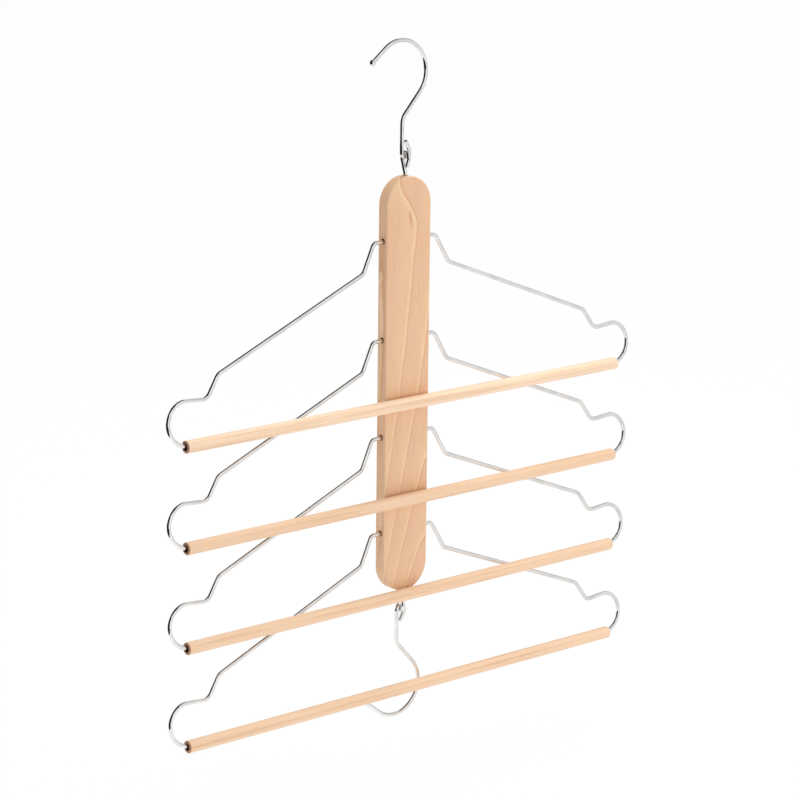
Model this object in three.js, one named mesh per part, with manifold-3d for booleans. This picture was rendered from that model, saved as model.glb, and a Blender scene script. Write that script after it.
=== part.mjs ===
// Tiered trouser hanger: a wooden plank hangs from a wire hook, four swing wires turn in
// holes across the plank, and each carries a wooden rod on its turned-in ends.
// Millimetres, +Z up, +X along the rods, the rods in front of the plank towards -Y.
// The origin is the inside of the top hook's crown, where the hook sits on a rail.
import * as THREE from 'three';
import { mergeVertices } from 'three/addons/utils/BufferGeometryUtils.js';
import Module from 'manifold-3d';

// Wire and the play it needs
const WIRE_D = 3;
const SEAT_GAP = 0.3;
const HOLE_PLAY = 0.55;
const BORE_PLAY = 0.85;

// Plank
const PLANK_W = 40;
const PLANK_T = 10;
const PLANK_EASE = 1;
const END_MARGIN = 45;

// Tiers
const TIER_COUNT = 4;
const TIER_PITCH = 71;
const TIER_DROP = 116.8;
const REST_GAP = 0.65;

// Swing wire, from the plank outwards
const STUB_OUT = 8.2;
const STEP_OUT = 11.1;
const STEP_DOWN = 20.6;
const NOTCH_OUT = 10.4;
const NOTCH_DOWN = 15.4;
const NOTCH_RUN = 33.2;
const NOTCH_TILT = 4.6;
const STEP_BEND = 5;
const SHOULDER_BEND = 8;
const NOTCH_BEND = 7;
const CURL_R = 15.2;
const CURL_INSET = 2.3;
const TENON = 12;

// Rods
const ROD_D = 9;
const ROD_L = 400;
const ROD_EASE = 1.2;
const BORE_SPARE = 3;

// Hooks
const BOW_R = 22.7;
const BOW_FOOT = 42;
const BOW_END = 128;
const TIP_RUN = 15;
const TIP_BALL_D = 4.4;
const NECK_BEND = 10;
const SHANK_OUT = 1.5;
const SHANK_L = 24;
const EYE_PLAY = 0.5;
const EYE_LEAN = 27.4;
const EYE_END_RUN = 7.3;

// Screw eyes
const LOOP_PLAY = 0.6;
const LOOP_LEG = 11.2;
const LOOP_NECK = 1.5;
const LOOP_NECK_BEND = 3;
const LOOP_OPEN = 0.3;
const THREAD_D = 3.4;
const THREAD_ROOT_D = 2.6;
const THREAD_PITCH = 2;
const THREAD_TURNS = 9;
const THREAD_POINT = 4;

// Facets
const WIRE_SIDES = 10;
const ROUND_SIDES = 24;
const HOLE_SIDES = 20;
const ARC_STEP = 15;

// Sizes that follow from the ones above
const WIRE_R = WIRE_D / 2;
const HOLE_R = WIRE_R + HOLE_PLAY;
const BORE_R = WIRE_R + BORE_PLAY;
const EYE_R = WIRE_D + EYE_PLAY;
const LOOP_R = WIRE_D + LOOP_PLAY;
const LOOP_TOP = LOOP_NECK + LOOP_LEG + LOOP_R;
const PLANK_L = (TIER_COUNT - 1) * TIER_PITCH + 2 * END_MARGIN;

// At rest a rod clears both the plank's face and the wires of the tier below it.
const REST_ANGLE = Math.asin(Math.max(
  (ROD_D / 2 + WIRE_R + REST_GAP) / TIER_PITCH,
  (PLANK_T / 2 + ROD_D / 2 + REST_GAP) / TIER_DROP,
));

const chrome = () => new THREE.MeshStandardMaterial({ color: 0xc9cdd2, roughness: 0.12, metalness: 1 });
const plankWood = () => new THREE.MeshStandardMaterial({ color: 0xe3b88f, roughness: 0.5, metalness: 0 });
const rodWood = () => new THREE.MeshStandardMaterial({ color: 0xeccba6, roughness: 0.55, metalness: 0 });

const wasm = await Module();
wasm.setup();

function toSolid(geometry) {
  const bare = geometry.clone();
  bare.deleteAttribute('normal');
  bare.deleteAttribute('uv');
  const merged = mergeVertices(bare, 1e-4);
  return new wasm.Manifold(new wasm.Mesh({
    numProp: 3,
    vertProperties: new Float32Array(merged.attributes.position.array),
    triVerts: new Uint32Array(merged.index.array),
  }));
}

function toGeometry(solid) {
  const mesh = solid.getMesh();
  const geometry = new THREE.BufferGeometry();
  geometry.setAttribute('position', new THREE.BufferAttribute(mesh.vertProperties, 3));
  geometry.setIndex(new THREE.BufferAttribute(mesh.triVerts, 1));
  geometry.computeVertexNormals();
  return geometry;
}

// A wire's centre line as stations, one at each end and a few round each bend.
class BentWire extends THREE.Curve {
  constructor(stations) {
    super();
    this.stations = stations;
  }

  stationAt(u) {
    return this.stations[Math.round(u * (this.stations.length - 1))];
  }

  getPoint(t, target = new THREE.Vector3()) {
    return target.copy(this.stationAt(t).point);
  }

  getPointAt(u, target) {
    return this.getPoint(u, target);
  }

  getTangentAt(u, target = new THREE.Vector3()) {
    return target.copy(this.stationAt(u).tangent);
  }
}

const flat = (x, y) => new THREE.Vector2(x, y);
const radians = THREE.MathUtils.degToRad;

// Stations round an arc, in degrees, turning left when "to" is above "from".
function arc(centre, radius, from, to) {
  const steps = Math.ceil(Math.abs(to - from) / ARC_STEP);
  const sense = Math.sign(to - from);
  return Array.from({ length: steps + 1 }, (_, i) => {
    const angle = radians(from + (to - from) * i / steps);
    const out = flat(Math.cos(angle), Math.sin(angle));
    const along = flat(-out.y, out.x).multiplyScalar(sense);
    return { at: out.multiplyScalar(radius).add(centre), along };
  });
}

// Stations of a rounded corner between two straight runs.
function corner(before, at, after, radius) {
  const arriving = at.clone().sub(before).normalize();
  const leaving = after.clone().sub(at).normalize();
  const turn = Math.atan2(arriving.cross(leaving), arriving.dot(leaving));
  const reach = radius * Math.tan(Math.abs(turn) / 2);
  const sense = Math.sign(turn);
  const inward = flat(-arriving.y, arriving.x).multiplyScalar(sense * radius);
  const centre = at.clone().addScaledVector(arriving, -reach).add(inward);
  const from = THREE.MathUtils.radToDeg(Math.atan2(-inward.y, -inward.x));
  return arc(centre, radius, from, from + THREE.MathUtils.radToDeg(turn));
}

// The two ends of a straight run.
function ends(from, to) {
  const along = to.clone().sub(from).normalize();
  return [{ at: from, along }, { at: to, along }];
}

// A round wire swept along flat stations that a plane function stands up in space.
function sweepWire(stations, plane) {
  const path = new BentWire(stations.map(({ at, along }) => ({ point: plane(at), tangent: plane(along) })));
  const section = new THREE.Shape().absarc(0, 0, WIRE_R, 0, 2 * Math.PI);
  return new THREE.ExtrudeGeometry(section, {
    steps: stations.length - 1,
    curveSegments: WIRE_SIDES / 2,
    extrudePath: path,
  });
}

const acrossPlane = ({ x, y }) => new THREE.Vector3(x, 0, y);
const depthPlane = ({ x, y }) => new THREE.Vector3(0, x, y);

// Hook: an open eye, a straight shank a little to the right of the crown, a bow and a ball on its tip.
const BOW_CENTRE = flat(0, WIRE_R - BOW_R);
const BOW_START = arc(BOW_CENTRE, BOW_R, -BOW_FOOT, BOW_END)[0];
const NECK_DROP = (BOW_START.at.x - SHANK_OUT) / Math.tan(radians(BOW_FOOT));
const NECK_CORNER = flat(SHANK_OUT, BOW_START.at.y - NECK_DROP);
const EYE_CENTRE = flat(SHANK_OUT + EYE_R, NECK_CORNER.y - SHANK_L);

function hookGeometry() {
  const bow = arc(BOW_CENTRE, BOW_R, -BOW_FOOT, BOW_END);
  const eye = arc(EYE_CENTRE, EYE_R, EYE_LEAN, -180);
  const eyeEnd = eye[0].at.clone().addScaledVector(eye[0].along, -EYE_END_RUN);
  const last = bow[bow.length - 1];
  const tip = last.at.clone().addScaledVector(last.along, TIP_RUN);
  const stations = [
    { at: eyeEnd, along: eye[0].along },
    ...eye,
    ...corner(EYE_CENTRE.clone().setX(SHANK_OUT), NECK_CORNER, bow[0].at, NECK_BEND),
    ...bow,
    { at: tip, along: last.along },
  ];
  const wire = toSolid(sweepWire(stations, acrossPlane));
  const ball = new THREE.SphereGeometry(TIP_BALL_D / 2, ROUND_SIDES / 2, ROUND_SIDES / 3);
  ball.translate(...acrossPlane(tip).toArray());
  return toGeometry(wire.add(toSolid(ball)));
}

// Screw eye: a threaded point, a neck that bends to one side and an open loop over it.
// Its own origin is on the plank's end, with the thread below.
const THREAD_L = THREAD_TURNS * THREAD_PITCH + THREAD_POINT;

function threadGeometry() {
  const profile = [flat(0, -THREAD_L)];
  for (let turn = 0; turn < THREAD_TURNS; turn += 1) {
    const foot = THREAD_POINT - THREAD_L + turn * THREAD_PITCH;
    profile.push(flat(THREAD_ROOT_D / 2, foot));
    profile.push(flat(THREAD_D / 2, foot + THREAD_PITCH / 2));
  }
  profile.push(flat(THREAD_ROOT_D / 2, 0));
  profile.push(flat(THREAD_ROOT_D / 2, LOOP_NECK / 2));
  profile.push(flat(0, LOOP_NECK / 2));
  return new THREE.LatheGeometry(profile, HOLE_SIDES / 2).rotateX(Math.PI / 2);
}

function screwEyeGeometry() {
  const neck = flat(0, LOOP_NECK);
  const centre = flat(0, LOOP_NECK + LOOP_LEG);
  const lean = Math.asin(LOOP_R / LOOP_LEG);
  const leanDegrees = THREE.MathUtils.radToDeg(lean);
  const loop = arc(centre, LOOP_R, -leanDegrees, 180 + leanDegrees);
  const open = (WIRE_R * (1 + Math.cos(2 * lean)) + LOOP_OPEN) / Math.sin(2 * lean);
  const openEnd = neck.clone().add(flat(-Math.sin(lean), Math.cos(lean)).multiplyScalar(open));
  const stations = [
    { at: flat(0, -THREAD_PITCH / 4), along: flat(0, 1) },
    ...corner(flat(0, 0), neck, loop[0].at, LOOP_NECK_BEND),
    ...loop,
    { at: openEnd, along: loop[loop.length - 1].along },
  ];
  const wire = toSolid(sweepWire(stations, depthPlane));
  return toGeometry(wire.add(toSolid(threadGeometry())));
}

// Plank: a board with half-round ends and eased edges, drilled across for each swing wire
// and up each end for a screw eye. Its own origin is the middle of its top end.
function plankGeometry() {
  const half = PLANK_W / 2;
  const outline = new THREE.Shape();
  outline.absarc(0, -half, half, 0, Math.PI);
  outline.absarc(0, half - PLANK_L, half, Math.PI, 2 * Math.PI);
  const board = new THREE.ExtrudeGeometry(outline, {
    depth: PLANK_T - 2 * PLANK_EASE,
    curveSegments: ROUND_SIDES / 2,
    bevelThickness: PLANK_EASE,
    bevelSize: PLANK_EASE,
    bevelOffset: -PLANK_EASE,
    bevelSegments: 2,
  });
  board.rotateX(Math.PI / 2).translate(0, PLANK_T / 2 - PLANK_EASE, 0);
  let solid = toSolid(board);
  for (let tier = 0; tier < TIER_COUNT; tier += 1) {
    const hole = new THREE.CylinderGeometry(HOLE_R, HOLE_R, 2 * PLANK_W, HOLE_SIDES);
    hole.rotateZ(Math.PI / 2).translate(0, 0, pivotZ(tier) + HOLE_PLAY - SEAT_GAP);
    solid = solid.subtract(toSolid(hole));
  }
  const pilotR = THREAD_D / 2 + SEAT_GAP;
  const pilotL = 2 * (THREAD_L + SEAT_GAP);
  for (const end of [0, -PLANK_L]) {
    const pilot = new THREE.CylinderGeometry(pilotR, pilotR, pilotL, HOLE_SIDES);
    solid = solid.subtract(toSolid(pilot.rotateX(Math.PI / 2).translate(0, 0, end)));
  }
  return toGeometry(solid);
}

// A tier's pivot below the plank's top end.
function pivotZ(tier) {
  return -END_MARGIN - tier * TIER_PITCH;
}

// Swing wire: straight through the plank, then on each side a step, a long shoulder, a notch
// and a curl that turns back into the rod's end. Its own origin is the middle of its pivot.
function swingWireGeometry() {
  const out = [flat(PLANK_W / 2 + STUB_OUT, 0)];
  out.push(out[0].clone().add(flat(STEP_OUT, -STEP_DOWN)));
  const tilt = radians(NOTCH_TILT);
  const curlOut = ROD_L / 2 - CURL_INSET + CURL_R;
  const curlTop = CURL_R * (1 + Math.tan(Math.PI / 4 + tilt / 2)) - TIER_DROP;
  const shoulderOfCurl = flat(curlOut, curlTop);
  const notch = shoulderOfCurl.clone().add(flat(-Math.cos(tilt), -Math.sin(tilt)).multiplyScalar(NOTCH_RUN));
  out.push(notch.clone().add(flat(-NOTCH_OUT, NOTCH_DOWN)));
  out.push(notch);
  out.push(shoulderOfCurl);
  out.push(flat(curlOut, -TIER_DROP));
  out.push(flat(ROD_L / 2 - TENON, -TIER_DROP));
  const bends = [STEP_BEND, STEP_BEND, SHOULDER_BEND, NOTCH_BEND, CURL_R, CURL_R];
  const mirrored = out.map(({ x, y }) => flat(-x, y)).reverse();
  const points = [...mirrored, ...out];
  const radii = [...[...bends].reverse(), ...bends];
  const bent = radii.flatMap((radius, i) => corner(points[i], points[i + 1], points[i + 2], radius));
  const [start] = ends(points[0], points[1]);
  const [, finish] = ends(points[points.length - 2], points[points.length - 1]);
  return sweepWire([start, ...bent, finish], acrossPlane);
}

// Rod: a round bar with eased ends, bored at each end for the swing wire.
// Its own origin is its middle.
function rodGeometry() {
  const end = ROD_L / 2;
  const floor = end - TENON - BORE_SPARE;
  const profile = [
    flat(0, -floor),
    flat(BORE_R, -floor),
    flat(BORE_R, -end),
    flat(ROD_D / 2 - ROD_EASE, -end),
    flat(ROD_D / 2, ROD_EASE - end),
    flat(ROD_D / 2, end - ROD_EASE),
    flat(ROD_D / 2 - ROD_EASE, end),
    flat(BORE_R, end),
    flat(BORE_R, floor),
    flat(0, floor),
  ];
  return new THREE.LatheGeometry(profile, ROUND_SIDES).rotateZ(-Math.PI / 2);
}

function piece(name, geometry, material) {
  const mesh = new THREE.Mesh(geometry, material);
  mesh.name = name;
  return mesh;
}

const group = new THREE.Group();
group.add(piece('top_hook', hookGeometry(), chrome()));

// The plank hangs with its upper screw eye looped through the hook's eye.
const hanging = new THREE.Group();
hanging.position.set(EYE_CENTRE.x, 0, EYE_CENTRE.y - EYE_R + WIRE_D + SEAT_GAP - LOOP_TOP);
hanging.add(piece('plank', plankGeometry(), plankWood()));
hanging.add(piece('top_screw_eye', screwEyeGeometry(), chrome()));

const bottomEye = piece('bottom_screw_eye', screwEyeGeometry(), chrome());
bottomEye.position.z = -PLANK_L;
bottomEye.rotation.x = Math.PI;
hanging.add(bottomEye);

// The lower hook is the same hook turned over, looped through the lower screw eye.
const bottomHook = piece('bottom_hook', hookGeometry(), chrome());
bottomHook.position.set(-EYE_CENTRE.x, 0, EYE_CENTRE.y - EYE_R + WIRE_D + SEAT_GAP - PLANK_L - LOOP_TOP);
bottomHook.rotation.x = Math.PI;
hanging.add(bottomHook);

for (let tier = 0; tier < TIER_COUNT; tier += 1) {
  const swing = new THREE.Group();
  swing.position.z = pivotZ(tier);
  swing.rotation.x = -REST_ANGLE;
  swing.add(piece(`swing_wire_${tier + 1}`, swingWireGeometry(), chrome()));
  const rod = piece(`rod_${tier + 1}`, rodGeometry(), rodWood());
  rod.position.z = -TIER_DROP - (BORE_PLAY - SEAT_GAP);
  swing.add(rod);
  hanging.add(swing);
}
group.add(hanging);

export default group;
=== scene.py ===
# %% [markdown]
# # A tiered trouser hanger
# A wooden board hangs from a chrome wire hook. Four wire arms swing in holes across the board, each one
# carries a round wooden rod, and a second hook below takes a further hanger. The CAD model is loaded
# first and stays where it is: it fixes every size and place, and each piece made below stands where one
# of its solids stands.

# %% Load the CAD frame
import math

import bmesh
import bpy
from mathutils import Matrix, Vector


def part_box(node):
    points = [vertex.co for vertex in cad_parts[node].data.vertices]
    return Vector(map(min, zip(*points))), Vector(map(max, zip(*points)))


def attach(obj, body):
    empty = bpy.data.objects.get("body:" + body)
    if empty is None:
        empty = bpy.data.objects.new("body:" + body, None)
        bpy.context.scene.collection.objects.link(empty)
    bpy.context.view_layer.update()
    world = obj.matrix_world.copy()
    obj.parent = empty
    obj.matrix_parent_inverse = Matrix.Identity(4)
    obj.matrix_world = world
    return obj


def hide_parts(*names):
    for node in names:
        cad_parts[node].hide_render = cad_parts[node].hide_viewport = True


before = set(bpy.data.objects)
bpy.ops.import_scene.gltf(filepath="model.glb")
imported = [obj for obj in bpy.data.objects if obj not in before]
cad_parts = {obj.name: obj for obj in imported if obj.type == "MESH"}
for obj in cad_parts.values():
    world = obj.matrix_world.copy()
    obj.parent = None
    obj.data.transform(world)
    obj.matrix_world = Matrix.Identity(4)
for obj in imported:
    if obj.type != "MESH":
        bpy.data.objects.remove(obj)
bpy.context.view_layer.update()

# %% [markdown]
# ## Working by selection
# Blender's operators act on whatever is selected, and the loaded solids start out selected. So each piece
# begins with nothing selected, and faces or edges are then picked by where they are. Four helpers cover
# that: one clears the selection, one selects a single piece, one takes over a new primitive with its place
# moved into its mesh, and one picks parts in edit mode.

# %% Selection helpers
MM = 0.001


def deselect_all():
    """Leaves nothing selected."""
    bpy.ops.object.select_all(action="DESELECT")


def select_only(piece):
    """Selects one piece and makes it the active one."""
    deselect_all()
    piece.select_set(True)
    bpy.context.view_layer.objects.active = piece


def take_new(name):
    """Names the primitive that was just added, moves its place into its mesh and opens it in edit mode."""
    piece = bpy.context.active_object
    piece.name = name
    piece.data.name = name
    bpy.ops.object.transform_apply(location=True, rotation=True, scale=True)
    bpy.ops.object.mode_set(mode="EDIT")
    bpy.ops.mesh.select_all(action="SELECT")
    return piece


def pick(piece, kind, test):
    """In edit mode, selects only the vertices, edges or faces that pass the test."""
    bpy.ops.mesh.select_mode(type=kind)
    bpy.ops.mesh.select_all(action="DESELECT")
    shape = bmesh.from_edit_mesh(piece.data)
    parts = {"VERT": shape.verts, "EDGE": shape.edges, "FACE": shape.faces}[kind]
    picked = [part for part in parts if test(part)]
    for part in picked:
        part.select_set(True)
    bmesh.update_edit_mesh(piece.data)
    return len(picked)


deselect_all()
print("Nothing is selected:", not bpy.context.selected_objects)

# %% [markdown]
# ## Bending wire
# The hooks, the screw eyes and the swing arms are all one gauge of chrome wire, bent on pins. A curve
# with a bevel would draw such a wire quickly. Here the wire is bent as in the workshop instead: a ring of
# edges is extruded along each straight run and spun round each bend, so every bend has its true radius
# and the mesh runs along the wire. Extruding and scaling the ring also thickens or thins the wire, which
# makes ball tips, eased ends and threads.

# %% Wire bender
WIRE_R = 1.5
WIRE_SIDES = 24
BEND_STEP = math.radians(6)
MERGE_GAP = 1e-6
SMOOTH_ANGLE = math.radians(40)


def close_and_smooth(piece):
    """Merges doubles, caps ends, turns faces outwards, leaves edit mode and smooths all but sharp edges."""
    bpy.ops.mesh.select_mode(type="VERT")
    bpy.ops.mesh.select_all(action="SELECT")
    bpy.ops.mesh.remove_doubles(threshold=MERGE_GAP)
    bpy.ops.mesh.fill_holes(sides=0)
    bpy.ops.mesh.select_all(action="SELECT")
    bpy.ops.mesh.normals_make_consistent(inside=False)
    bpy.ops.object.mode_set(mode="OBJECT")
    bpy.ops.object.shade_smooth_by_angle(angle=SMOOTH_ANGLE)
    print(piece.name, "has", len(piece.data.polygons), "faces")


class WireBender:
    """Bends one wire in the XZ plane, in millimetres: its live end is a ring of edges."""

    def __init__(self, name, start, heading, radius=WIRE_R):
        self.place = Vector((start[0], 0, start[1]))
        self.heading = heading
        self.radius = radius
        deselect_all()
        bpy.ops.mesh.primitive_circle_add(
            vertices=WIRE_SIDES,
            radius=radius * MM,
            fill_type="NOTHING",
            location=self.place * MM,
            rotation=(0, math.pi / 2 - heading, 0),
        )
        self.piece = take_new(name)

    def ahead(self):
        return Vector((math.cos(self.heading), 0, math.sin(self.heading)))

    def draw(self, length):
        """Draws the wire straight on."""
        step = self.ahead() * length
        bpy.ops.mesh.extrude_region_move(TRANSFORM_OT_translate={"value": step * MM})
        self.place += step

    def swell(self, length, radius):
        """Draws the wire on while it grows thicker or thinner."""
        self.draw(length)
        ratio = radius / self.radius
        bpy.ops.transform.resize(value=(ratio, ratio, ratio), center_override=self.place * MM)
        self.radius = radius

    def bend(self, radius, angle):
        """Bends the wire round a pin, to the left where the angle is positive."""
        to_left = Vector((-math.sin(self.heading), 0, math.cos(self.heading)))
        pin = self.place + to_left * math.copysign(radius, angle)
        steps = max(2, math.ceil(abs(angle) / BEND_STEP))
        bpy.ops.mesh.spin(steps=steps, angle=angle, center=pin * MM, axis=(0, 1, 0))
        self.place = pin + Matrix.Rotation(-angle, 3, "Y") @ (self.place - pin)
        self.heading += angle

    def follow(self, corners, radii):
        """Draws and bends along straight runs whose corners are rounded, up to the last corner."""
        for corner, onward, radius in zip(corners, corners[1:], radii):
            corner = Vector((corner[0], 0, corner[1]))
            leaving = Vector((onward[0], 0, onward[1])) - corner
            turn = math.atan2(leaving.z, leaving.x) - self.heading
            turn = math.remainder(turn, 2 * math.pi)
            reach = radius * math.tan(abs(turn) / 2)
            self.draw((corner - self.place).length - reach)
            self.bend(radius, turn)

    def draw_to(self, point):
        """Draws straight on as far as a point."""
        self.draw((Vector((point[0], 0, point[1])) - self.place).length)


print("One wire of", 2 * WIRE_R, "mm,", WIRE_SIDES, "sides")

# %% [markdown]
# ## Placing and copying
# A piece is modelled where it is easiest, at the origin, and then moved to its place. Applying the move
# puts the place into the mesh and leaves the object at the origin, unturned, as the CAD solids are. What
# repeats is modelled once and duplicated, and each copy has its own mesh.

# %% Placing helpers


def copy_of(piece, name):
    """Duplicates a piece, with a mesh of its own."""
    select_only(piece)
    bpy.ops.object.duplicate(linked=False)
    twin = bpy.context.active_object
    twin.name = name
    twin.data.name = name
    return twin


def settle(piece, place):
    """Moves a piece by a matrix and applies the move to its mesh."""
    select_only(piece)
    piece.matrix_world = place
    bpy.ops.object.transform_apply(location=True, rotation=True, scale=True)


def moved_to(x, z, turn=0.0):
    """A place in the XZ plane, in millimetres, turned about X first."""
    return Matrix.Translation(Vector((x, 0, z)) * MM) @ Matrix.Rotation(turn, 4, "X")


board_low, board_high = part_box("plank")
BOARD_X = (board_low.x + board_high.x) / 2 / MM
BOARD_TOP = board_high.z / MM
BOARD_L = (board_high.z - board_low.z) / MM
BOARD_W = (board_high.x - board_low.x) / MM
BOARD_T = (board_high.y - board_low.y) / MM
print("The board is", round(BOARD_W, 2), "x", round(BOARD_T, 2), "x", round(BOARD_L, 2), "mm")

# %% [markdown]
# ## The hooks
# The top hook is one wire: an open eye at its foot, a straight shank, a bend that carries it out to a
# round bow, and a short straight tip that ends in a ball, so that it neither scratches nor catches. The
# bender starts at the eye's open end and works up the wire. The ball is the wire itself, swollen ring by
# ring round the outline of a sphere. The bottom hook is the same hook turned over.

# %% Hook sizes
BOW_R = 22.7
BOW_FOOT = math.radians(42)
BOW_END = math.radians(128)
TIP_RUN = 15.0
BALL_R = 2.2
BALL_RINGS = 12
NECK_BEND = 10.0
SHANK_OUT = 1.5
SHANK_L = 24.0
EYE_R = 3.5
EYE_LEAN = math.radians(27.4)
EYE_END_RUN = 7.3
END_EASE = 0.35

bow_start = (BOW_R * math.cos(BOW_FOOT), WIRE_R - BOW_R - BOW_R * math.sin(BOW_FOOT))
neck_corner = (SHANK_OUT, bow_start[1] - (bow_start[0] - SHANK_OUT) / math.tan(BOW_FOOT))
eye_centre = (SHANK_OUT + EYE_R, neck_corner[1] - SHANK_L)
print("The eye's centre is at", round(eye_centre[1], 2), "mm")

# %% Bend the hook


def eased_start(name, start, heading):
    """Starts a wire with a cut end whose edge is rubbed down."""
    wire = WireBender(name, start, heading, WIRE_R - END_EASE)
    wire.swell(END_EASE, WIRE_R)
    return wire


def ball_tip(wire, radius):
    """Swells the wire's end into a ball that is centred a little way on."""
    first = math.asin(wire.radius / radius)
    reached = -radius * math.cos(first)
    for ring in range(1, BALL_RINGS):
        angle = first + (math.pi - first) * ring / BALL_RINGS
        along = -radius * math.cos(angle)
        wire.swell(along - reached, radius * math.sin(angle))
        reached = along


def ball_reach(wire_radius, radius):
    """How far before the ball's centre its wire ends."""
    return math.sqrt(radius * radius - wire_radius * wire_radius)


def bend_hook(name):
    """Eye, shank, neck, bow and tip, with the crown's inside at the origin."""
    heading = EYE_LEAN - math.pi / 2
    on_eye = Vector((math.cos(EYE_LEAN), math.sin(EYE_LEAN))) * EYE_R + Vector(eye_centre)
    back = Vector((math.cos(heading), math.sin(heading))) * EYE_END_RUN
    wire = eased_start(name, on_eye - back, heading)
    wire.draw(EYE_END_RUN - END_EASE)
    wire.bend(EYE_R, -(math.pi + EYE_LEAN))
    wire.follow([neck_corner, bow_start], [NECK_BEND])
    wire.draw_to(bow_start)
    wire.bend(BOW_R, BOW_FOOT + BOW_END)
    wire.draw(TIP_RUN - ball_reach(WIRE_R, BALL_R))
    ball_tip(wire, BALL_R)
    close_and_smooth(wire.piece)
    return wire.piece


top_hook = bend_hook("hook_wire_top")
bottom_hook = copy_of(top_hook, "hook_wire_bottom")

# %% Turn the second hook over
bottom_hook_low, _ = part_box("bottom_hook")
_, top_hook_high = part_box("top_hook")
lower_crown = (bottom_hook_low.z + top_hook_high.z) / MM
settle(bottom_hook, moved_to(0, lower_crown, math.pi))
print("The lower crown is at", round(lower_crown, 2), "mm")

# %% [markdown]
# ## The screw eyes
# A screw eye joins each hook to the board: a wire loop that is nearly closed, on a threaded point that is
# screwed into the board's end. The thread is hidden in the wood, but it is made all the same: the ring is
# swollen and thinned turn by turn, then drawn out to the wire's own thickness and bent to a loop. It is
# bent in the XZ plane like the rest and then turned a quarter, because the loop stands across the hook's
# eye.

# %% Screw eye sizes
LOOP_R = 3.6
LOOP_LEG = 11.2
LOOP_NECK = 1.5
LOOP_NECK_BEND = 3.0
LOOP_OPEN = 0.3
THREAD_R = 1.7
THREAD_ROOT_R = 1.3
THREAD_PITCH = 2.0
THREAD_TURNS = 9
THREAD_POINT = 4.0
POINT_R = 0.1
NECK_FLARE = 0.25

loop_lean = math.asin(LOOP_R / LOOP_LEG)
thread_length = THREAD_TURNS * THREAD_PITCH + THREAD_POINT
print("The loop leans", round(math.degrees(loop_lean), 1), "degrees from its neck")

# %% Thread and bend the screw eye


def bend_screw_eye(name):
    """Point, thread, neck and loop, with the board's end at the origin and the thread below."""
    wire = WireBender(name, (0, -thread_length), math.pi / 2, POINT_R)
    wire.swell(THREAD_POINT, THREAD_ROOT_R)
    for _ in range(THREAD_TURNS):
        wire.swell(THREAD_PITCH / 2, THREAD_R)
        wire.swell(THREAD_PITCH / 2, THREAD_ROOT_R)
    wire.swell(NECK_FLARE, WIRE_R)
    on_loop = (LOOP_R * math.cos(loop_lean), LOOP_NECK + LOOP_LEG - LOOP_R * math.sin(loop_lean))
    wire.follow([(0, LOOP_NECK), on_loop], [LOOP_NECK_BEND])
    wire.draw_to(on_loop)
    wire.bend(LOOP_R, math.pi + 2 * loop_lean)
    leg = LOOP_LEG * math.cos(loop_lean)
    gap = (WIRE_R * (1 + math.cos(2 * loop_lean)) + LOOP_OPEN) / math.sin(2 * loop_lean)
    wire.draw(leg - gap - END_EASE)
    wire.swell(END_EASE, WIRE_R - END_EASE)
    close_and_smooth(wire.piece)
    return wire.piece


top_screw_eye = bend_screw_eye("screw_eye_wire_top")
bottom_screw_eye = copy_of(top_screw_eye, "screw_eye_wire_bottom")

# %% Set the screw eyes in the board's ends
quarter_turn = Matrix.Rotation(math.pi / 2, 4, "Z")
settle(top_screw_eye, moved_to(BOARD_X, BOARD_TOP) @ quarter_turn)
settle(bottom_screw_eye, moved_to(BOARD_X, BOARD_TOP - BOARD_L, math.pi) @ quarter_turn)
print("Loop top:", round(max(v.co.z for v in top_screw_eye.data.vertices) / MM, 2), "mm")

# %% [markdown]
# ## The swing arms
# Each tier is a single wire. It runs straight through the board, and on each side it steps down, follows
# a long sloping shoulder, dips into a notch and curls back into the end of the rod. Both sides are the
# same, so half a wire is bent and a Mirror modifier makes the other half. The rods hang a little in front
# of the board, because each one has to clear the wires of the tier below it, so the finished arms lean
# forward.

# %% Swing arm sizes
STUB_OUT = 8.2
STEP_OUT = 11.1
STEP_DOWN = 20.6
NOTCH_OUT = 10.4
NOTCH_DOWN = 15.4
NOTCH_RUN = 33.2
NOTCH_TILT = math.radians(4.6)
STEP_BEND = 5.0
SHOULDER_BEND = 8.0
NOTCH_BEND = 7.0
CURL_R = 15.2
CURL_INSET = 2.3
TENON = 12.0
TIER_DROP = 116.8
TIER_PITCH = 71.0
FIRST_PIVOT = 45.0
TIERS = (1, 2, 3, 4)

rod_low, rod_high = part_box("rod_1")
ROD_L = (rod_high.x - rod_low.x) / MM
print("The arms carry rods of", round(ROD_L, 1), "mm")

# %% Bend half an arm and mirror it
step_top = (BOARD_W / 2 + STUB_OUT, 0.0)
step_foot = (step_top[0] + STEP_OUT, -STEP_DOWN)
curl_out = ROD_L / 2 - CURL_INSET + CURL_R
curl_top = (curl_out, CURL_R * (1 + math.tan(math.pi / 4 + NOTCH_TILT / 2)) - TIER_DROP)
notch = (curl_top[0] - NOTCH_RUN * math.cos(NOTCH_TILT), curl_top[1] - NOTCH_RUN * math.sin(NOTCH_TILT))
shoulder_end = (notch[0] - NOTCH_OUT, notch[1] + NOTCH_DOWN)
curl_foot = (curl_out, -TIER_DROP)
arm_end = (ROD_L / 2 - TENON, -TIER_DROP)

half_arm = WireBender("arm_wire_1", (0, 0), 0.0)
half_arm.follow(
    [step_top, step_foot, shoulder_end, notch, curl_top, curl_foot, arm_end],
    [STEP_BEND, STEP_BEND, SHOULDER_BEND, NOTCH_BEND, CURL_R, CURL_R],
)
half_arm.draw_to((arm_end[0] + END_EASE, arm_end[1]))
half_arm.swell(END_EASE, WIRE_R - END_EASE)
bpy.ops.object.mode_set(mode="OBJECT")

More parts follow.
